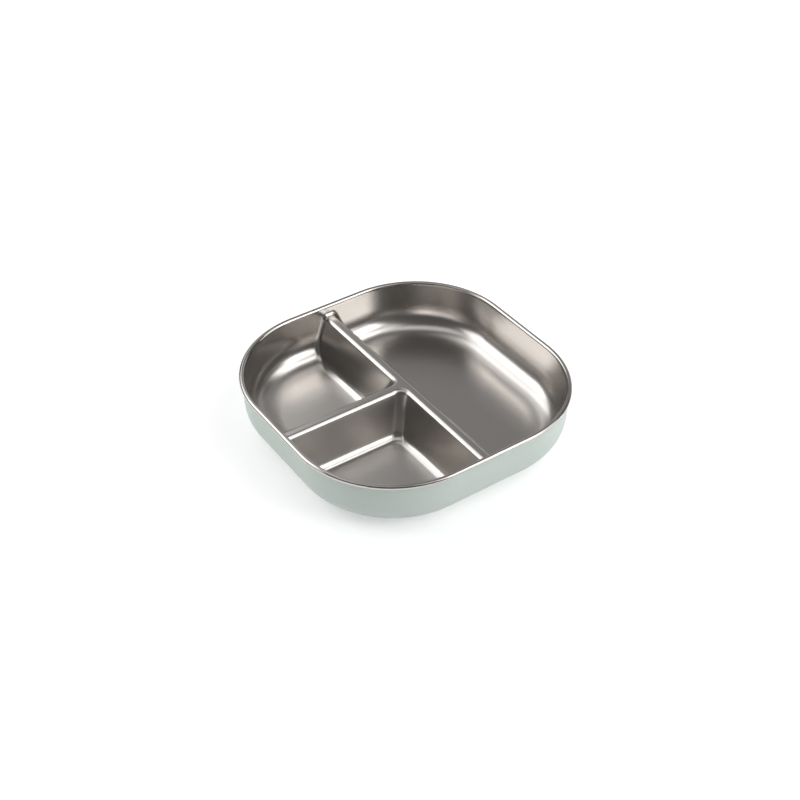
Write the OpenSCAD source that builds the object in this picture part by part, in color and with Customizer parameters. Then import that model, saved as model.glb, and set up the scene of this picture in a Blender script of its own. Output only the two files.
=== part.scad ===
// Divided plate: a pressed steel tray with three wells, in a moulded shell that stands on a soft ring.
// Millimetres, +Z up. The origin is the middle of the footprint, on the table.
// The main divider runs along Y, with the large well on its +X side.

/* [Plate] */
// Width and length over the rolled rim
plate_w = 178.5; // [160:0.5:220]
// Height from the table to the top of the rim
plate_h = 34.8; // [33:0.2:46]
// Radius of the four corners, seen from above, over the rim
plate_corner_r = 63.3; // [56:0.1:72]

/* [Steel tray] */
// Thickness of the steel sheet
sheet_t = 0.6; // [0.4:0.1:0.8]
// Diameter of the curl at the edge of the rim
curl_d = 2.6; // [2.2:0.1:3.2]
// How far round the curl turns under, in degrees from its top
curl_turn = 240; // [200:5:260]
// Flat band on top of the rim, inside the curl
rim_flat = 0.5; // [0.4:0.1:2.4]
// Rounding from the rim down into the wall
rim_r = 1.5; // [1:0.1:2.5]
// Lean of the outer wall, and of the shell round it, in degrees from upright
wall_lean = 3; // [1:0.5:5]
// Rounding between the outer wall and the floors
wall_floor_r = 15; // [10:0.5:15]

/* [Dividers] */
// Drop from the top of the rim to the top of the dividers
divider_drop = 6.9; // [6:0.1:9]
// Width of the flat along the top of a divider
divider_flat = 2.4; // [2:0.1:8]
// Rounding of a divider's top edges
divider_edge_r = 3; // [1.5:0.1:4]
// Lean of a divider's sides, in degrees from upright
divider_lean = 22; // [10:0.5:24]
// Rounding between a divider and the floors
divider_floor_r = 5.6; // [3:0.2:8]
// Rounding where the end of a divider rises into the outer wall
divider_end_r = 3; // [2:0.1:3.5]
// Upright rounding of a well's corners between a divider and the outer wall
well_corner_r = 3.4; // [2.5:0.1:6]
// Upright rounding of a well's corner where the two dividers meet
meet_corner_r = 6; // [4:0.2:9]
// Main divider's middle, to the right of the plate's middle
main_divider_x = 0; // [-15:1:15]
// Cross divider's middle, behind the plate's middle
cross_divider_y = 0; // [-15:1:15]

/* [Outer shell] */
// Thickness of the moulded shell
shell_t = 1.2; // [1:0.1:1.6]
// How much sharper the shell's base rounding is than one that keeps an even gap to the tray's
base_sharper = 0.8; // [0:0.1:4]
// Clearance all round between the shell and the tray's wall at the top
wall_gap = 0.25; // [0.2:0.05:0.6]
// Clearance between the tray and the shell, below the curl and below the floors
seat_gap = 0.3; // [0.2:0.05:0.6]

/* [Grip ring] */
// Diameter over the ring
ring_d = 116; // [90:1:126]
// Width of the ring's band
ring_band = 8; // [5:0.5:12]
// Depth of the groove that holds the ring
ring_groove = 0.6; // [0.4:0.1:0.7]
// How far the ring stands out below the shell
ring_stand = 0.5; // [0.3:0.1:1]
// Bevel round the ring's bottom edges
ring_bevel = 0.2; // [0.1:0.05:0.3]

/* [Hidden] */
$fn = 72;

// Overrun of every cut past the face that it leaves by
over = 1;
// Steps round a large corner, a small corner, the curl and any other rounding
corner_steps = 12;
small_steps = 4;
curl_steps = 10;
round_steps = 4;
floor_steps = 8;
base_steps = 10;

half_w = plate_w / 2;
// Distance from the plate's middle to the middle of a corner's arcs, along X and along Y
corner_at = half_w - plate_corner_r;
curl_r = curl_d / 2;
floor_z = ring_stand + shell_t + seat_gap + sheet_t;
divider_z = plate_h - divider_drop;
// Middles of the curl and of the rim's inner rounding, as [distance from the plate's middle, height]
curl_mid = [half_w - curl_r, plate_h - curl_r];
neck_mid = [curl_mid[0] - rim_flat, plate_h - rim_r];
// Height on the leaning wall at which the swept rim stands on the pan
rim_low_z = neck_mid[1] - rim_r;
// Directions from a middle to its four corners, anticlockwise from +X +Y
ways = [[1, 1], [-1, 1], [-1, -1], [1, -1]];

function arc(centre, r, from, to, steps) =
    [for (i = [0:steps]) centre + r * [cos(from + (to - from) * i / steps), sin(from + (to - from) * i / steps)]];

// Distance from the plate's middle to the outer wall's face at height z.
// The face is moved outward by o, which is 0 for the food side of the sheet and sheet_t for its back.
function wall_line(z, o) = neck_mid[0] - (rim_r - o) / cos(wall_lean) - (neck_mid[1] - z) * tan(wall_lean);
// The same, with the rounding of radius r onto a flat at height flat_z
function wall_at(z, o, r, flat_z) =
    let (mid_z = flat_z + r, mid = wall_line(mid_z, 0) - r / cos(wall_lean), reach = r + o)
    z >= mid_z - reach * sin(wall_lean) ? wall_line(z, o) : mid + sqrt(max(0, pow(reach, 2) - pow(z - mid_z, 2)));

// Distance from a divider's middle to its side at height z, with its top edge and floor roundings
edge_mid_z = divider_z - divider_edge_r;
function side_line(z, o) =
    divider_flat / 2 + (divider_edge_r - o) / cos(divider_lean) + (edge_mid_z - z) * tan(divider_lean);
function side_at(z, o) =
    let (edge = divider_edge_r - o, foot = divider_floor_r + o, foot_z = floor_z + divider_floor_r)
    let (foot_mid = side_line(foot_z, 0) + divider_floor_r / cos(divider_lean))
    z > edge_mid_z + edge * sin(divider_lean)
        ? divider_flat / 2 + sqrt(max(0, pow(edge, 2) - pow(min(z - edge_mid_z, edge), 2)))
        : z > foot_z - foot * sin(divider_lean)
            ? side_line(z, o)
            : foot_mid - sqrt(max(0, pow(foot, 2) - pow(z - foot_z, 2)));

// Heights along a rounding of radius r about mid_z, from one angle to another
function round_heights(mid_z, r, from, to, steps) = [for (p = arc([0, mid_z], r, from, to, steps)) p[1]];
// Heights of the outlines that the pan and the wells are built from, top to bottom.
// A well begins where the pan's rounding leaves the outer wall.
function pan_heights(o) = concat(
    [rim_low_z],
    round_heights(divider_z + divider_end_r, divider_end_r + o, -wall_lean, -90, round_steps)
);
function well_heights(o) = concat(
    [pan_heights(o)[1]],
    round_heights(edge_mid_z, divider_edge_r - o, 90, divider_lean, round_steps),
    round_heights(floor_z + wall_floor_r, wall_floor_r + o, -wall_lean, -90, floor_steps)
);

// Rounded corner whose two sides would meet at the point at; q counts anticlockwise from +X +Y
function corner(at, r, q, steps) = arc(at - r * ways[q], r, q * 90, q * 90 + 90, steps);

// Outline of a rounded square that lies w from the plate's middle
function square_outline(w) = [for (q = [0:3]) each corner(w * ways[q], w - corner_at, q, corner_steps)];

// Outlines of the three wells at height z. Outer corners follow the rim, and the others have small arcs.
function well_outline(well, z, o) =
    let (w = wall_at(z, o, wall_floor_r, floor_z), s = side_at(z, o), r = well_corner_r + o)
    let (left = main_divider_x - s, right = main_divider_x + s, far = cross_divider_y + s, near = cross_divider_y - s)
    let (meet = meet_corner_r + o, big = w - corner_at)
    well == "large" ? concat(
        corner([w, w], big, 0, corner_steps), corner([right, w], r, 1, small_steps),
        corner([right, -w], r, 2, small_steps), corner([w, -w], big, 3, corner_steps))
    : well == "back" ? concat(
        corner([left, w], r, 0, small_steps), corner([-w, w], big, 1, corner_steps),
        corner([-w, far], r, 2, small_steps), corner([left, far], meet, 3, small_steps))
    : concat(
        corner([left, near], meet, 0, small_steps), corner([-w, near], r, 1, small_steps),
        corner([-w, -w], big, 2, corner_steps), corner([left, -w], r, 3, small_steps));

// Outline of the pan at height z
function pan_outline(z, o) = square_outline(wall_at(z, o, divider_end_r, divider_z));

function lifted(outline, z) = [for (p = outline) [p[0], p[1], z]];

// Solid between two convex outlines, one above the other
module slab(points) {
    hull() polyhedron(points = points, faces = [[for (i = [0:len(points) - 1]) i]]);
}

// One well: its hollow with o = 0, and its hollow and sheet together with o = sheet_t
module well(name, o) {
    z = well_heights(o);
    for (i = [1:len(z) - 1])
        slab(concat(lifted(well_outline(name, z[i - 1], o), z[i - 1]), lifted(well_outline(name, z[i], o), z[i])));
}

// The shallow pan above the dividers, with its rounding down onto them
module pan(o) {
    z = pan_heights(o);
    for (i = [1:len(z) - 1])
        slab(concat(lifted(pan_outline(z[i - 1], o), z[i - 1]), lifted(pan_outline(z[i], o), z[i])));
}

// Section of the rim, as [distance from the plate's middle, height]: up the wall, out over the top, round the
// curl and back along the underside
rim_section = concat(
    [[wall_line(rim_low_z, 0), rim_low_z]],
    arc(neck_mid, rim_r, 180 - wall_lean, 90, round_steps),
    arc(curl_mid, curl_r, 90, 90 - curl_turn, curl_steps),
    arc(curl_mid, curl_r - sheet_t, 90 - curl_turn, 90, curl_steps),
    arc(neck_mid, rim_r - sheet_t, 90, 180 - wall_lean, round_steps),
    [[wall_line(rim_low_z, sheet_t), rim_low_z]]
);

// The section swept round the plate
module rim() {
    count = len(rim_section);
    points = [for (p = rim_section) each lifted(square_outline(p[0]), p[1])];
    turns = len(points) / count;
    faces = [for (i = [0:count - 1], j = [0:turns - 1])
        let (a = i * turns, b = (i + 1) % count * turns, k = (j + 1) % turns)
        each [[a + j, a + k, b + k], [a + j, b + k, b + j]]];
    polyhedron(points = points, faces = faces);
}

module steel_tray() {
    color("silver")
    difference() {
        union() {
            rim();
            pan(sheet_t);
            for (name = ["large", "back", "front"]) well(name, sheet_t);
        }
        pan(0);
        for (name = ["large", "back", "front"]) well(name, 0);
    }
}

// Distance from the middle of a corner's arcs to the shell's side at height z, for its inner face with o = 0
// and its outer face with o = shell_t. The side leans like the tray's wall, wall_gap away from it.
function shell_side(z, o) = wall_line(z, sheet_t + wall_gap + o) - corner_at;

shell_top_z = plate_h - curl_d - seat_gap;
shell_base_r = wall_floor_r + sheet_t + seat_gap + shell_t - base_sharper;
shell_mid_z = ring_stand + shell_base_r;
shell_mid = [shell_side(shell_mid_z, shell_t) - shell_base_r / cos(wall_lean), shell_mid_z];
ring_inner_d = ring_d - 2 * ring_band;

// Half section of the shell, outward from the middle of a corner's arcs
module shell_section() {
    polygon(concat(
        [[0, ring_stand + shell_t], [0, ring_stand]],
        arc(shell_mid, shell_base_r, -90, -wall_lean, base_steps),
        [[shell_side(shell_top_z, shell_t), shell_top_z], [shell_side(shell_top_z, 0), shell_top_z]],
        arc(shell_mid, shell_base_r - shell_t, -wall_lean, -90, base_steps)
    ));
}

module outer_shell() {
    color("lightcyan")
    difference() {
        union() {
            for (q = [0:3]) rotate([0, 0, 90 * q]) {
                translate([corner_at, corner_at, 0]) rotate_extrude(angle = 90) shell_section();
                translate([corner_at, corner_at, 0]) rotate([90, 0, 0])
                    linear_extrude(height = 2 * corner_at) shell_section();
            }
            translate([-corner_at, -corner_at, ring_stand]) cube([2 * corner_at, 2 * corner_at, shell_t]);
        }
        translate([0, 0, ring_stand - over]) linear_extrude(height = ring_groove + over)
            difference() {
                circle(d = ring_d);
                circle(d = ring_inner_d);
            }
    }
}

// Ring, bevelled round both bottom edges, with its top at the bottom of the groove
module grip_ring() {
    inner = ring_inner_d / 2;
    outer = ring_d / 2;
    top = ring_stand + ring_groove;
    color("gainsboro")
    rotate_extrude() polygon([
        [inner, top], [inner, ring_bevel], [inner + ring_bevel, 0],
        [outer - ring_bevel, 0], [outer, ring_bevel], [outer, top]
    ]);
}

steel_tray();
outer_shell();
grip_ring();
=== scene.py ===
"""Looks of a divided plate: a pressed steel tray with three wells, in a moulded shell on a grip ring."""

from math import cos, degrees, hypot, pi, radians, sin, sqrt, tan

import bmesh
import bpy
from bpy.props import FloatProperty, FloatVectorProperty, IntProperty, PointerProperty
from mathutils import Matrix, Vector


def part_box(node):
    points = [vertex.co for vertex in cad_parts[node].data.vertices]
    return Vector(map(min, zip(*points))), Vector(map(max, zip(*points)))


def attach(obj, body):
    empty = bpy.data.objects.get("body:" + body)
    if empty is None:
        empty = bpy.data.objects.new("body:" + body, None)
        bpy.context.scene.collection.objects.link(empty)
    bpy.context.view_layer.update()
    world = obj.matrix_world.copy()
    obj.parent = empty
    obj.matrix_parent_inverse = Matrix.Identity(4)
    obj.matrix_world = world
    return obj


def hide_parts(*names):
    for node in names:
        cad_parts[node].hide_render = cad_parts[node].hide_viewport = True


bl_info = {
    "name": "Divided steel plate",
    "version": (1, 0, 0),
    "blender": (4, 5, 0),
    "location": "View3D > Sidebar > Plate",
    "description": "Makes the looks of a divided plate round its packed CAD model",
    "category": "Object",
}

MM = 0.001
# Points nearer than MERGE are one point, and heights within NEAR are the same height
MERGE = 0.01 * MM
NEAR = 0.001 * MM

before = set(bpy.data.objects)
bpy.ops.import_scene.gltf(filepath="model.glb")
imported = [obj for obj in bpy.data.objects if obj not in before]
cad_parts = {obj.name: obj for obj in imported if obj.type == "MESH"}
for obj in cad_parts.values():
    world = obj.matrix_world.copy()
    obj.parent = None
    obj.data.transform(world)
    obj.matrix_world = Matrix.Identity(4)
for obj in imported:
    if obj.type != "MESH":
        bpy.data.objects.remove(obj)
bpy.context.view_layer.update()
_, tray_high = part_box("steel_tray")
shell_low, shell_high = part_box("outer_shell")
_, ring_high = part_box("grip_ring")


def srgb(code):
    """Linear colour, with alpha, from an sRGB hex code such as "c8b8a8"."""
    parts = [int(code[i:i + 2], 16) / 255 for i in (0, 2, 4)]
    return tuple(c / 12.92 if c <= 0.04045 else ((c + 0.055) / 1.055) ** 2.4 for c in parts) + (1.0,)


# Sizes

def length(name, description, default):
    return FloatProperty(name=name, description=description, default=default,
                         subtype="DISTANCE", unit="LENGTH", precision=5)


def angle(name, description, default):
    return FloatProperty(name=name, description=description, default=radians(default),
                         subtype="ANGLE", unit="ROTATION")


def colour(name, description, code):
    return FloatVectorProperty(name=name, description=description, default=srgb(code),
                               size=4, subtype="COLOR", min=0, max=1)


def share(name, description, default):
    return FloatProperty(name=name, description=description, default=default,
                         min=0, max=1, subtype="FACTOR")


def count(name, description, default, least):
    return IntProperty(name=name, description=description, default=default, min=least)


class TraySizes(bpy.types.PropertyGroup):
    """Sizes of the pressed tray, as in the CAD model, with feet that run out a little more softly."""
    half_width: length("Half width", "From the middle to the outside of the curl", tray_high.x)
    rim_height: length("Rim height", "From the table to the top of the rim", tray_high.z)
    corner_radius: length("Corner radius", "Corners seen from above, over the rim", 63.3 * MM)
    sheet: length("Sheet", "Thickness of the steel", 0.6 * MM)
    curl_radius: length("Curl radius", "Outside radius of the curled edge", 1.3 * MM)
    curl_turn: angle("Curl turn", "How far round the curl goes", 240)
    rim_flat: length("Rim flat", "Flat band on top of the rim, inside the curl", 0.5 * MM)
    rim_rounding: length("Rim rounding", "From the rim down into the wall", 1.5 * MM)
    wall_lean: angle("Wall lean", "Lean of the outer wall from upright", 3)
    floor_height: length("Floor height", "Food side of the floors above the table", 2.6 * MM)
    foot_rise: length("Foot rise", "Height above the floors at which the wall begins to run out", 16.1 * MM)
    foot_reach: length("Foot reach", "How far from the wall that run ends on the floors", 19.4 * MM)
    divider_drop: length("Divider drop", "From the top of the rim to the top of the dividers", 6.9 * MM)
    divider_flat: length("Divider flat", "Half the flat along the top of a divider", 1.2 * MM)
    divider_edge: length("Divider edge", "Rounding of a divider's top edges", 3 * MM)
    divider_lean: angle("Divider lean", "Lean of a divider's sides from upright", 22)
    divider_foot_rise: length("Divider foot rise", "Height where a divider's side begins to run out", 5 * MM)
    divider_foot_reach: length("Divider foot reach", "How far from the side that run ends", 4.4 * MM)
    divider_end: length("Divider end", "Rounding where a divider's end rises into the wall", 3 * MM)
    small_corner: length("Small corner", "Upright rounding between a divider and the wall", 3.4 * MM)
    meet_corner: length("Meeting corner", "Upright rounding where the two dividers meet", 6 * MM)


class ShellSizes(bpy.types.PropertyGroup):
    """Sizes of the moulded shell and the ring under it, as in the CAD model."""
    wall: length("Wall", "Thickness of the shell", 1.2 * MM)
    base_rounding: length("Base rounding", "Rounding between the shell's side and its base", 16.3 * MM)
    lip_rounding: length("Lip rounding", "Rounding of the shell's top edge", 0.4 * MM)
    groove: length("Groove", "Depth of the groove that holds the ring", 0.6 * MM)
    ring_band: length("Ring band", "Width of the ring", 8 * MM)
    ring_edge: length("Ring edge", "Rounding of the ring's bottom edges", 0.2 * MM)


class PlateColours(bpy.types.PropertyGroup):
    """Colours and finishes of the plate."""
    steel: colour("Steel", "Colour of the steel", "c6c2be")
    steel_roughness: share("Steel roughness", "Roughness of the satin wells", 0.25)
    rim_roughness: share("Rim roughness", "Roughness of the polished rim", 0.08)
    shell: colour("Shell", "Colour of the moulded shell", "e6f1eb")
    ring: colour("Ring", "Colour of the grip ring", "d5dbd7")


class PlateSteps(bpy.types.PropertyGroup):
    """How finely the curves are divided."""
    big_corner: count("Large corners", "Steps round a corner of the rim", 32, 8)
    small_corner: count("Small corners", "Steps round a small corner", 10, 4)
    foot: count("Feet", "Steps down the foot of a wall", 24, 6)
    edge: count("Edges", "Steps round an edge", 8, 3)
    curl: count("Curl", "Steps round the curl", 24, 8)
    across: count("Across", "Steps across half a divider", 3, 2)


# Modelling helpers

def deselect():
    """Leaves edit mode and selects nothing."""
    if bpy.context.object and bpy.context.object.mode != "OBJECT":
        bpy.ops.object.mode_set(mode="OBJECT")
    bpy.ops.object.select_all(action="DESELECT")


def pick(piece):
    """Makes the piece the only one selected."""
    deselect()
    bpy.context.view_layer.objects.active = piece
    piece.select_set(True)


def turn_outwards():
    """Turns all faces of the mesh in edit mode the same way."""
    bpy.ops.mesh.select_all(action="SELECT")
    bpy.ops.mesh.normals_make_consistent(inside=False)


def arc(centre, radius, start, end, steps):
    """Points round part of a circle, with its angles in degrees."""
    turns = [radians(start + (end - start) * i / steps) for i in range(steps + 1)]
    return [(centre[0] + radius * cos(t), centre[1] + radius * sin(t)) for t in turns]


def patch(rows):
    """A grid with its points moved to the rows given."""
    deselect()
    bpy.ops.mesh.primitive_grid_add(x_subdivisions=len(rows[0]) - 1, y_subdivisions=len(rows) - 1, size=1)
    made = bpy.context.object
    for point, place in zip(made.data.vertices, [p for row in rows for p in row], strict=True):
        point.co = place
    return made


def join(pieces, name):
    """Joins the pieces into one, merges the points that they share and turns the faces the same way."""
    deselect()
    for piece in pieces:
        piece.select_set(True)
    bpy.context.view_layer.objects.active = pieces[0]
    bpy.ops.object.join()
    made = bpy.context.object
    made.name = made.data.name = name
    bpy.ops.object.mode_set(mode="EDIT")
    bpy.ops.mesh.select_all(action="SELECT")
    bpy.ops.mesh.remove_doubles(threshold=MERGE)
    turn_outwards()
    bpy.ops.object.mode_set(mode="OBJECT")
    return made


def fill(piece, chosen):
    """Closes the piece with one face through all the points for which chosen is true."""
    pick(piece)
    bpy.ops.object.mode_set(mode="EDIT")
    bpy.ops.mesh.select_mode(type="VERT")
    bpy.ops.mesh.select_all(action="DESELECT")
    mesh = bmesh.from_edit_mesh(piece.data)
    for point in mesh.verts:
        point.select_set(chosen(point.co))
    mesh.select_flush(True)
    bmesh.update_edit_mesh(piece.data)
    bpy.ops.mesh.edge_face_add()
    bpy.ops.object.mode_set(mode="OBJECT")


def apply_modifier(piece, kind, **settings):
    """Adds a modifier with its settings to the piece and applies it."""
    modifier = piece.modifiers.new(kind.title(), kind)
    for key, value in settings.items():
        setattr(modifier, key, value)
    pick(piece)
    bpy.ops.object.modifier_apply(modifier=modifier.name)


def smooth(piece, sharpest=40):
    """Shades the piece smooth, apart from edges that turn more than the angle given in degrees."""
    pick(piece)
    bpy.ops.object.shade_smooth_by_angle(angle=radians(sharpest))


def finish_piece(piece, node, body, material):
    """Gives the piece its material, and puts it in the place of its CAD node."""
    piece.data.materials.clear()
    piece.data.materials.append(material)
    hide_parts(node)
    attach(piece, body)


# Shape of the tray

class TrayShape:
    """Heights and distances of the tray's food side. It lies the same on both sides of the cross divider."""

    def __init__(self, sizes, steps):
        self.s, self.n = sizes, steps
        s = sizes
        self.corner_at = s.half_width - s.corner_radius
        self.curl_mid = (s.half_width - s.curl_radius, s.rim_height - s.curl_radius)
        self.neck_mid = (self.curl_mid[0] - s.rim_flat, s.rim_height - s.rim_rounding)
        self.divider_z = s.rim_height - s.divider_drop
        self.edge_mid_z = self.divider_z - s.divider_edge
        self.top_z = self.divider_z + s.divider_end

    def foot(self, z, rise, reach):
        """How far a soft foot stands out from its wall: nothing at the rise, the reach at the floor."""
        part = sqrt(max(0, min(1, (z - self.s.floor_height) / rise)))
        return reach * (1 - part) ** 2

    def wall(self, z):
        """Distance from the middle to the outer wall at a height."""
        s = self.s
        neck_x, neck_z = self.neck_mid
        line = neck_x - s.rim_rounding / cos(s.wall_lean) - (neck_z - z) * tan(s.wall_lean)
        return line - self.foot(z, s.foot_rise, s.foot_reach)

    def side(self, z):
        """Distance from a divider's middle to its side at a height."""
        s = self.s
        if z > self.edge_mid_z + s.divider_edge * sin(s.divider_lean):
            rise = min(z - self.edge_mid_z, s.divider_edge)
            return s.divider_flat + sqrt(max(0, s.divider_edge ** 2 - rise ** 2))
        line = s.divider_flat + s.divider_edge / cos(s.divider_lean)
        line += (self.edge_mid_z - z) * tan(s.divider_lean)
        return line + self.foot(z, s.divider_foot_rise, s.divider_foot_reach)

    def levels(self):
        """Heights of a well's rows, top to bottom, as (height at the wall, height at the dividers)."""
        s, n = self.s, self.n
        edge = [z for _, z in arc((0, self.edge_mid_z), s.divider_edge, 90, degrees(s.divider_lean), n.edge)]
        foot = [s.floor_height + s.foot_rise * (1 - i / n.foot) ** 2 for i in range(n.foot + 1)]
        side_rows = 6
        side = [edge[-1] + (foot[0] - edge[-1]) * i / side_rows for i in range(1, side_rows)]
        wall = [self.top_z + (edge[-1] - self.top_z) * i / n.edge for i in range(n.edge + 1)]
        return list(zip(wall, edge)) + [(z, z) for z in side + foot]

    def end_height(self, gap, wall_z, side_z):
        """Height at a gap from the outer wall, where a divider's end rises into it."""
        rise = self.s.divider_end
        part = 1 - sqrt(max(0, rise ** 2 - (rise - gap) ** 2)) / rise if gap < rise else 0
        return side_z + (wall_z - side_z) * part

    def row(self, well, wall_z, side_z):
        """One row of a well, from the back of the plate to its middle or round it."""
        s, n, c = self.s, self.n, self.corner_at
        w, d, r = self.wall(wall_z), self.side(side_z), s.small_corner
        if well == "large":
            plan = [(w, 0)] + arc((c, c), w - c, 0, 90, n.big_corner)
            plan += arc((d + r, w - r), r, 90, 180, n.small_corner)
            flare = s.divider_flat + s.meet_corner
            plan += [(d, flare * i / n.across) for i in range(n.across, -1, -1)]
        else:
            m = s.meet_corner
            plan = arc((-d - r, w - r), r, 0, 90, n.small_corner)
            plan += arc((-c, c), w - c, 90, 180, n.big_corner)
            plan += arc((-w + r, d + r), r, 180, 270, n.small_corner)
            plan += arc((-d - m, d + m), m, 270, 360, n.small_corner)
            plan += plan[:1]
        made = []
        for x, y in plan:
            gap = w - max(abs(x), abs(y))
            on_wall = abs(x) > c and abs(y) > c
            made.append((x, y, wall_z if on_wall else self.end_height(gap, wall_z, side_z)))
        return made

    def main_top(self):
        """Rows across the top of the main divider, from the middle of the plate to its back wall."""
        s, n = self.s, self.n
        w, r, d = self.wall(self.top_z), s.small_corner, s.divider_flat
        flare = d + s.meet_corner
        edge = [(d, flare * i / n.across) for i in range(n.across + 1)]
        edge += reversed(arc((d + r, w - r), r, 90, 180, n.small_corner))
        rows = []
        for x, y in edge:
            z = self.end_height(w - y, self.top_z, self.divider_z)
            rows.append([(x * (i / n.across - 1), y, z) for i in range(2 * n.across + 1)])
        return rows

    def cross_top(self):
        """Rows across half the top of the cross divider, from the left wall to the main divider."""
        s, n = self.s, self.n
        w, r, d = self.wall(self.top_z), s.small_corner, s.divider_flat
        m = s.meet_corner
        edge = arc((-w + r, d + r), r, 180, 270, n.small_corner)
        edge += arc((-d - m, d + m), m, 270, 360, n.small_corner)
        rows = []
        for x, y in edge:
            z = self.end_height(w + x, self.top_z, self.divider_z)
            rows.append([(x, y * i / n.across, z) for i in range(n.across + 1)])
        return rows

    def rim(self):
        """Rows from the dividers' height up the wall, over the rim and round the curl."""
        s, n, c = self.s, self.n, self.corner_at
        w, r, d = self.wall(self.top_z), s.small_corner, s.divider_flat
        plan = [(w, 0)] + arc((c, c), w - c, 0, 90, n.big_corner)
        plan += [((d + r) * (1 - i / n.across), w) for i in range(2 * n.across + 1)]
        plan += arc((-c, c), w - c, 90, 180, n.big_corner)
        plan += [(-w, (d + r) * (1 - i / n.across)) for i in range(n.across + 1)]
        lean, low_z = degrees(s.wall_lean), self.neck_mid[1] + s.rim_rounding * sin(s.wall_lean)
        wall_rows = 4
        heights = [self.top_z + (low_z - self.top_z) * i / wall_rows for i in range(wall_rows)]
        section = [(self.wall(z), z) for z in heights]
        section += arc(self.neck_mid, s.rim_rounding, 180 - lean, 90, n.edge)
        section += arc(self.curl_mid, s.curl_radius, 90, 90 - degrees(s.curl_turn), n.curl)
        rows = []
        for distance, z in section:
            row = []
            for x, y in plan:
                if abs(x) > c and abs(y) > c:
                    away = Vector((abs(x) - c, abs(y) - c)).normalized()
                    away = (away.x if x > 0 else -away.x, away.y)
                else:
                    away = (x / abs(x), 0) if abs(x) > abs(y) else (0, 1)
                row.append((x + away[0] * (distance - w), y + away[1] * (distance - w), z))
            rows.append(row)
        return rows


class PLATE_OT_tray(bpy.types.Operator):
    """Makes the pressed steel tray: half of it from patches, mirrored and given its sheet's thickness"""
    bl_idname = "plate.tray"
    bl_label = "Pressed tray"

    def execute(self, context):
        sizes = context.scene.tray_sizes
        shape = TrayShape(sizes, context.scene.plate_steps)
        levels = shape.levels()
        patches = [patch([shape.row(well, *level) for level in levels]) for well in ("large", "back")]
        patches += [patch(shape.main_top()), patch(shape.cross_top()), patch(shape.rim())]
        tray = join(patches, "pressed_tray")
        low = sizes.floor_height + NEAR
        fill(tray, lambda p: p.z < low and p.x > 0)
        fill(tray, lambda p: p.z < low and p.x < 0)
        apply_modifier(tray, "MIRROR", use_axis=(False, True, False), merge_threshold=MERGE)
        pick(tray)
        bpy.ops.object.mode_set(mode="EDIT")
        turn_outwards()
        bpy.ops.object.mode_set(mode="OBJECT")
        floor = max(tray.data.polygons, key=lambda f: f.area)
        if floor.normal.z < 0:
            tray.data.flip_normals()
        apply_modifier(tray, "SOLIDIFY", thickness=sizes.sheet, offset=-1, use_even_offset=True)
        smooth(tray)
        finish_piece(tray, "steel_tray", "tray",
                     satin_steel(context.scene.plate_colours))
        return {"FINISHED"}


# Shell and ring

def square_outline(distance, corner_at, steps):
    """Closed outline of a rounded square that lies a distance from the middle."""
    quarters = ((1, 1, 0), (-1, 1, 90), (-1, -1, 180), (1, -1, 270))
    plan = [p for x, y, a in quarters
            for p in arc((x * corner_at, y * corner_at), distance - corner_at, a, a + 90, steps)]
    return plan + plan[:1]


class PLATE_OT_shell(bpy.types.Operator):
    """Makes the moulded shell, with a rounded lip and the groove for the ring in its base"""
    bl_idname = "plate.shell"
    bl_label = "Moulded shell"

    def execute(self, context):
        t, s, n = context.scene.tray_sizes, context.scene.shell_sizes, context.scene.plate_steps
        corner_at = t.half_width - t.corner_radius
        out, top, low = shell_high.x, shell_high.z, shell_low.z
        lean, lip = t.wall_lean, s.lip_rounding

        def side(z, depth):
            """Distance from the middle to a face that lies a depth inside the shell's leaning side."""
            return out - (top - z) * tan(lean) - depth / cos(lean)

        mid = (side(low + s.base_rounding, s.base_rounding), low + s.base_rounding)
        tilt, lip_steps = degrees(lean), n.edge // 2
        section = arc(mid, s.base_rounding - s.wall, -90, -tilt, n.foot)
        section += arc((side(top - lip, s.wall - lip), top - lip), lip, 180 - tilt, 90, lip_steps)
        section += arc((side(top - lip, lip), top - lip), lip, 90, -tilt, lip_steps)
        section += arc(mid, s.base_rounding, -tilt, -90, n.foot)
        rows = [[(x, y, z) for x, y in square_outline(d, corner_at, n.big_corner)] for d, z in section]
        skin = patch(rows)
        outer, inner = ring_high.x, ring_high.x - s.ring_band
        round_steps = 4 * n.big_corner
        circle = [(outer, low), (outer, low + s.groove), (inner, low + s.groove), (inner, low)]
        groove = patch([[(x, y, z) for x, y in arc((0, 0), r, 0, 360, round_steps)] for r, z in circle])
        shell = join([skin, groove], "moulded_shell")
        fill(shell, lambda p: abs(p.z - low - s.wall) < NEAR)
        fill(shell, lambda p: abs(p.z - low) < NEAR and hypot(p.x, p.y) < inner + MERGE)
        bpy.ops.object.mode_set(mode="EDIT")
        bpy.ops.mesh.select_all(action="DESELECT")
        bpy.ops.mesh.select_mode(type="EDGE")
        bpy.ops.mesh.select_non_manifold()
        bpy.ops.mesh.bridge_edge_loops()
        turn_outwards()
        bpy.ops.object.mode_set(mode="OBJECT")
        smooth(shell)
        finish_piece(shell, "outer_shell", "shell",
                     sage_polypropylene(context.scene.plate_colours))
        return {"FINISHED"}


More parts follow.
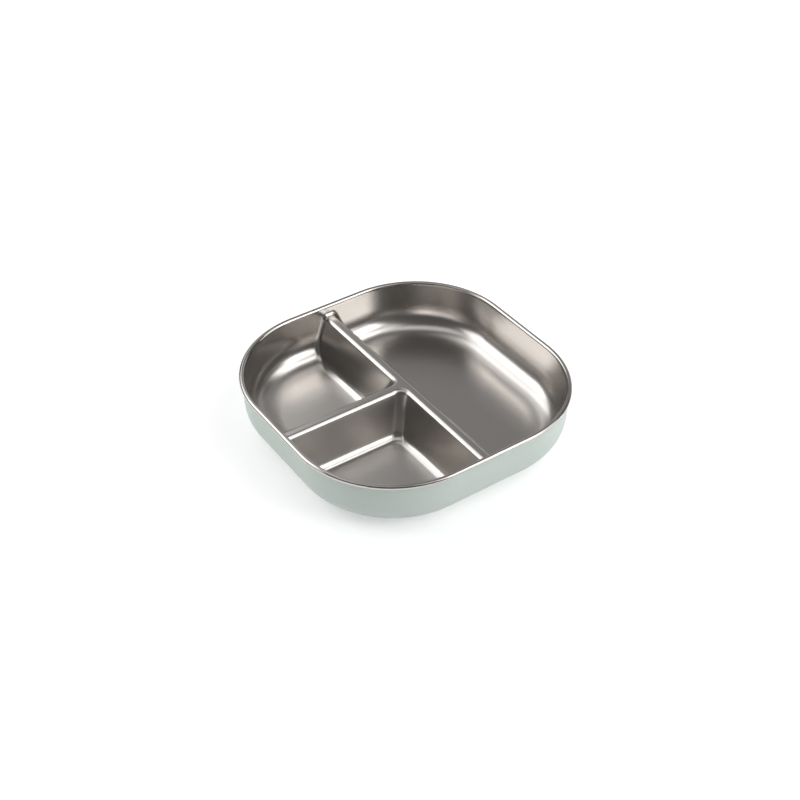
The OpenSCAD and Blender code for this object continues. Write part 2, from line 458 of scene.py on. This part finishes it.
class PLATE_OT_ring(bpy.types.Operator):
    """Makes the soft grip ring by spinning its bevelled section"""
    bl_idname = "plate.ring"
    bl_label = "Grip ring"

    def execute(self, context):
        s = context.scene.shell_sizes
        band, high = s.ring_band, ring_high.z
        deselect()
        bpy.ops.mesh.primitive_plane_add(size=1, rotation=(radians(90), 0, 0),
                                         location=(ring_high.x - band / 2, 0, high / 2))
        ring = context.object
        ring.scale = (band, high, 1)
        bpy.ops.object.transform_apply(location=True, rotation=True, scale=True)
        bpy.ops.object.mode_set(mode="EDIT")
        bpy.ops.mesh.select_mode(type="VERT")
        bpy.ops.mesh.select_all(action="DESELECT")
        mesh = bmesh.from_edit_mesh(ring.data)
        for point in mesh.verts:
            point.select_set(point.co.z < high / 2)
        bmesh.update_edit_mesh(ring.data)
        bpy.ops.mesh.bevel(offset=s.ring_edge, segments=4, affect="VERTICES")
        # Only the section's outline is spun, so that no face is left inside the ring
        bpy.ops.mesh.select_all(action="SELECT")
        bpy.ops.mesh.delete(type="ONLY_FACE")
        bpy.ops.mesh.select_all(action="SELECT")
        bpy.ops.mesh.spin(steps=128, angle=2 * pi, center=(0, 0, 0), axis=(0, 0, 1), use_auto_merge=True)
        bpy.ops.mesh.select_all(action="SELECT")
        bpy.ops.mesh.remove_doubles(threshold=MERGE)
        bpy.ops.mesh.delete_loose()
        turn_outwards()
        bpy.ops.object.mode_set(mode="OBJECT")
        ring.name = ring.data.name = "soft_ring"
        smooth(ring)
        finish_piece(ring, "grip_ring", "shell",
                     soft_silicone(context.scene.plate_colours))
        return {"FINISHED"}


# Materials

def add_node(tree, kind, inputs=(), **settings):
    """Adds a node, sets its settings, and sets or links its inputs."""
    node = tree.nodes.new(kind)
    for key, value in settings.items():
        setattr(node, key, value)
    for key, value in dict(inputs).items():
        if isinstance(value, bpy.types.NodeSocket):
            tree.links.new(value, node.inputs[key])
        else:
            node.inputs[key].default_value = value
    return node


def new_material(name):
    """A new material and its empty node tree."""
    material = bpy.data.materials.new(name)
    material.use_nodes = True
    material.node_tree.nodes.clear()
    return material, material.node_tree


def close_material(tree, shader):
    """Gives the material its output, with the shader on its surface."""
    add_node(tree, "ShaderNodeOutputMaterial", {"Surface": shader.outputs[0]})


def glow_without_lamp(material):
    """Lets a glowing surface be seen without being sampled as a lamp, which leaves less noise."""
    material.cycles.emission_sampling = "NONE"


def satin_steel(colours):
    """Stainless steel with a fine blasted satin, which spreads its reflections, and a polished rim."""
    material, tree = new_material("satin_stainless_steel")
    place = add_node(tree, "ShaderNodeTexCoord").outputs["Object"]
    height = add_node(tree, "ShaderNodeSeparateXYZ", {"Vector": place}).outputs["Z"]
    # Satin up to 2.2 mm below the top of the rim, and polished from 1.4 mm below it
    rough = add_node(tree, "ShaderNodeMapRange", {
        "Value": height, "From Min": tray_high.z - 2.2 * MM, "From Max": tray_high.z - 1.4 * MM,
        "To Min": colours.steel_roughness, "To Max": colours.rim_roughness})
    shader = add_node(tree, "ShaderNodeBsdfPrincipled", {
        "Base Color": colours.steel, "Metallic": 1.0, "Roughness": rough.outputs["Result"]})
    close_material(tree, shader)
    return material


def sage_polypropylene(colours):
    """Moulded polypropylene with a fine spark-eroded grain, which leaves it matt with a faint sheen."""
    material, tree = new_material("sage_polypropylene")
    place = add_node(tree, "ShaderNodeTexCoord").outputs["Object"]
    # Grain of the mould, about 0.3 mm
    grain = add_node(tree, "ShaderNodeTexNoise", {"Vector": place, "Scale": 1 / (0.3 * MM), "Detail": 2.0})
    bump = add_node(tree, "ShaderNodeBump", {"Height": grain.outputs["Fac"], "Strength": 0.1,
                                             "Distance": 0.02 * MM})
    shader = add_node(tree, "ShaderNodeBsdfPrincipled", {
        "Base Color": colours.shell, "Roughness": 0.5, "IOR": 1.49, "Normal": bump.outputs["Normal"]})
    close_material(tree, shader)
    return material


def soft_silicone(colours):
    """Moulded silicone, matt, with the fine tooth that gives it grip."""
    material, tree = new_material("soft_silicone")
    place = add_node(tree, "ShaderNodeTexCoord").outputs["Object"]
    # Tooth of the mould, about 0.4 mm
    tooth = add_node(tree, "ShaderNodeTexNoise", {"Vector": place, "Scale": 1 / (0.4 * MM), "Detail": 2.0})
    bump = add_node(tree, "ShaderNodeBump", {"Height": tooth.outputs["Fac"], "Strength": 0.15,
                                             "Distance": 0.03 * MM})
    shader = add_node(tree, "ShaderNodeBsdfPrincipled", {
        "Base Color": colours.ring, "Roughness": 0.65, "IOR": 1.41, "Normal": bump.outputs["Normal"]})
    close_material(tree, shader)
    return material


# Stage

# Each softbox: name, azimuth from +X towards +Y, elevation, width, height, roll, brightness
# Angles are in degrees, lengths in metres, and a brightness of 1 is white.
# All stand STAND_AWAY from the plate, inside the tent.
STAND_AWAY = 1.5
TENT_RADIUS = 2.2
TENT_BRIGHTNESS = 0.115
FLOOR_RADIUS = 6
FLOOR_GREY = (0.92, 0.92, 0.92, 1)
# The floor's own glow is GLOW by the plate, and grows to full white between FADE_FROM and FADE_TO from it
GLOW = 0.42
FADE_FROM = 0.4
FADE_TO = 1.2
SOFTBOXES = (
    ("back_core", 127, 37, 0.6, 0.4, -10, 2.0),
    ("back_key", 122, 42, 1.6, 0.8, -12, 1.7),
    ("back_edge", 80, 50, 0.6, 0.8, 0, 0.8),
    ("right_core", 302, 36, 0.4, 0.5, 0, 2.6),
    ("right_mid", 304, 40, 0.7, 0.8, 0, 2.0),
    ("right_side", 338, 50, 0.5, 0.9, -20, 2.2),
    ("right_top", 308, 66, 0.9, 0.4, 0, 0.9),
    ("right_low", 318, 12, 1.2, 0.5, 0, 1.6),
    ("far_low", 40, 14, 2.0, 0.9, 0, 0.38),
    ("far_top", 45, 45, 1.2, 0.8, 0, 0.15),
    ("left_low", 185, 6, 1.6, 0.35, 0, 1.1),
    ("overhead", 146, 88, 0.5, 1.6, 0, 0.8),
)


class PLATE_OT_stage(bpy.types.Operator):
    """Makes the floor, the dim tent with its softboxes, the white room round it and the camera"""
    bl_idname = "plate.stage"
    bl_label = "Stage"

    def execute(self, context):
        self.floor()
        self.tent()
        for softbox in SOFTBOXES:
            self.softbox(*softbox)
        self.camera(context.scene)
        world = bpy.data.worlds.new("white_room")
        context.scene.world = world
        world.use_nodes = True
        world.node_tree.nodes["Background"].inputs["Color"].default_value = (1, 1, 1, 1)
        context.scene.view_settings.view_transform = "Standard"
        return {"FINISHED"}

    def floor(self):
        """White paper that keeps the plate's shadow and turns fully white further out."""
        deselect()
        bpy.ops.mesh.primitive_circle_add(vertices=96, radius=FLOOR_RADIUS, fill_type="NGON")
        floor = bpy.context.object
        floor.name = floor.data.name = "floor"
        material, tree = new_material("white_paper")
        paper = add_node(tree, "ShaderNodeBsdfDiffuse", {"Color": FLOOR_GREY})
        path = add_node(tree, "ShaderNodeLightPath")
        seen = add_node(tree, "ShaderNodeMath", {
            0: path.outputs["Is Camera Ray"], 1: path.outputs["Is Glossy Ray"]}, operation="MAXIMUM")
        seen = add_node(tree, "ShaderNodeMath", {
            0: seen.outputs[0], 1: path.outputs["Is Transmission Ray"]}, operation="MAXIMUM")
        # The softboxes light the floor less further out, so its own glow makes up for it there
        place = add_node(tree, "ShaderNodeTexCoord").outputs["Object"]
        away = add_node(tree, "ShaderNodeVectorMath", {0: place}, operation="LENGTH").outputs["Value"]
        white = add_node(tree, "ShaderNodeMapRange", {
            "Value": away, "From Min": FADE_FROM, "From Max": FADE_TO, "To Min": GLOW, "To Max": 1.0})
        glow = add_node(tree, "ShaderNodeMath", {
            0: seen.outputs[0], 1: white.outputs["Result"]}, operation="MULTIPLY")
        lift = add_node(tree, "ShaderNodeEmission", {"Strength": glow.outputs[0]})
        both = add_node(tree, "ShaderNodeAddShader", {0: paper.outputs[0], 1: lift.outputs[0]})
        close_material(tree, both)
        glow_without_lamp(material)
        floor.data.materials.append(material)

    def tent(self):
        """A sphere of dim cloth, which keeps the white room out of the steel. The camera sees through it."""
        deselect()
        bpy.ops.mesh.primitive_uv_sphere_add(segments=48, ring_count=24, radius=TENT_RADIUS)
        tent = bpy.context.object
        tent.name = tent.data.name = "dim_tent"
        material, tree = new_material("tent_cloth")
        close_material(tree, add_node(tree, "ShaderNodeEmission", {"Strength": TENT_BRIGHTNESS}))
        glow_without_lamp(material)
        tent.data.materials.append(material)
        tent.visible_camera = False

    def softbox(self, name, turn, rise, width, height, roll, brightness):
        """A soft panel that faces the plate from the direction given."""
        turn, rise = radians(turn), radians(rise)
        away = Vector((cos(rise) * cos(turn), cos(rise) * sin(turn), sin(rise)))
        bpy.ops.object.light_add(type="AREA", location=away * STAND_AWAY)
        box = bpy.context.object
        box.name = box.data.name = name
        facing = away.to_track_quat("Z", "Y").to_matrix()
        box.rotation_euler = (facing @ Matrix.Rotation(radians(roll), 3, "Z")).to_euler()
        box.data.shape = "RECTANGLE"
        box.data.size, box.data.size_y = width, height
        # An area lamp's power in watts is pi times its area times its brightness
        box.data.energy = pi * width * height * brightness
        box.visible_camera = False

    def camera(self, scene):
        """The photograph's view: 33.9 degrees left of the front, 39.2 above, with a long lens."""
        turn, rise, roll, distance = radians(-33.874), radians(39.171), radians(-0.704), 0.8076
        target = Vector((-14.88 * MM, -17.21 * MM, tray_high.z - 1.3 * MM))
        ahead = -Vector((sin(turn) * cos(rise), -cos(turn) * cos(rise), sin(rise)))
        right = Vector((cos(turn), sin(turn), 0))
        up = right.cross(ahead)
        right, up = right * cos(roll) + up * sin(roll), up * cos(roll) - right * sin(roll)
        data = bpy.data.cameras.new("camera")
        data.lens, data.sensor_width = 62.17, 36
        camera = bpy.data.objects.new("camera", data)
        scene.collection.objects.link(camera)
        camera.matrix_world = Matrix.Translation(target - ahead * distance) @ Matrix(
            (right, up, -ahead)).transposed().to_4x4()
        scene.camera = camera


# Panel and registration

OPERATORS = (PLATE_OT_tray, PLATE_OT_shell, PLATE_OT_ring, PLATE_OT_stage)


class PLATE_PT_panel(bpy.types.Panel):
    """Lists the operators, and the sizes and colours that they use"""
    bl_idname = "PLATE_PT_panel"
    bl_label = "Divided plate"
    bl_space_type = "VIEW_3D"
    bl_region_type = "UI"
    bl_category = "Plate"

    def draw(self, context):
        for group in ("tray_sizes", "shell_sizes", "plate_colours", "plate_steps"):
            box = self.layout.box()
            holder = getattr(context.scene, group)
            for key in holder.bl_rna.properties.keys():
                if key not in ("rna_type", "name"):
                    box.prop(holder, key)
        for operator in OPERATORS:
            self.layout.operator(operator.bl_idname)


GROUPS = {"tray_sizes": TraySizes, "shell_sizes": ShellSizes, "plate_colours": PlateColours,
          "plate_steps": PlateSteps}


def register():
    for kind in (*GROUPS.values(), *OPERATORS, PLATE_PT_panel):
        bpy.utils.register_class(kind)
    for name, kind in GROUPS.items():
        setattr(bpy.types.Scene, name, PointerProperty(type=kind))


def unregister():
    for name in GROUPS:
        delattr(bpy.types.Scene, name)
    for kind in (PLATE_PT_panel, *reversed(OPERATORS), *reversed(GROUPS.values())):
        bpy.utils.unregister_class(kind)


def main():
    register()
    bpy.ops.plate.tray()
    bpy.ops.plate.shell()
    bpy.ops.plate.ring()
    bpy.ops.plate.stage()


if __name__ == "__main__":
    main()
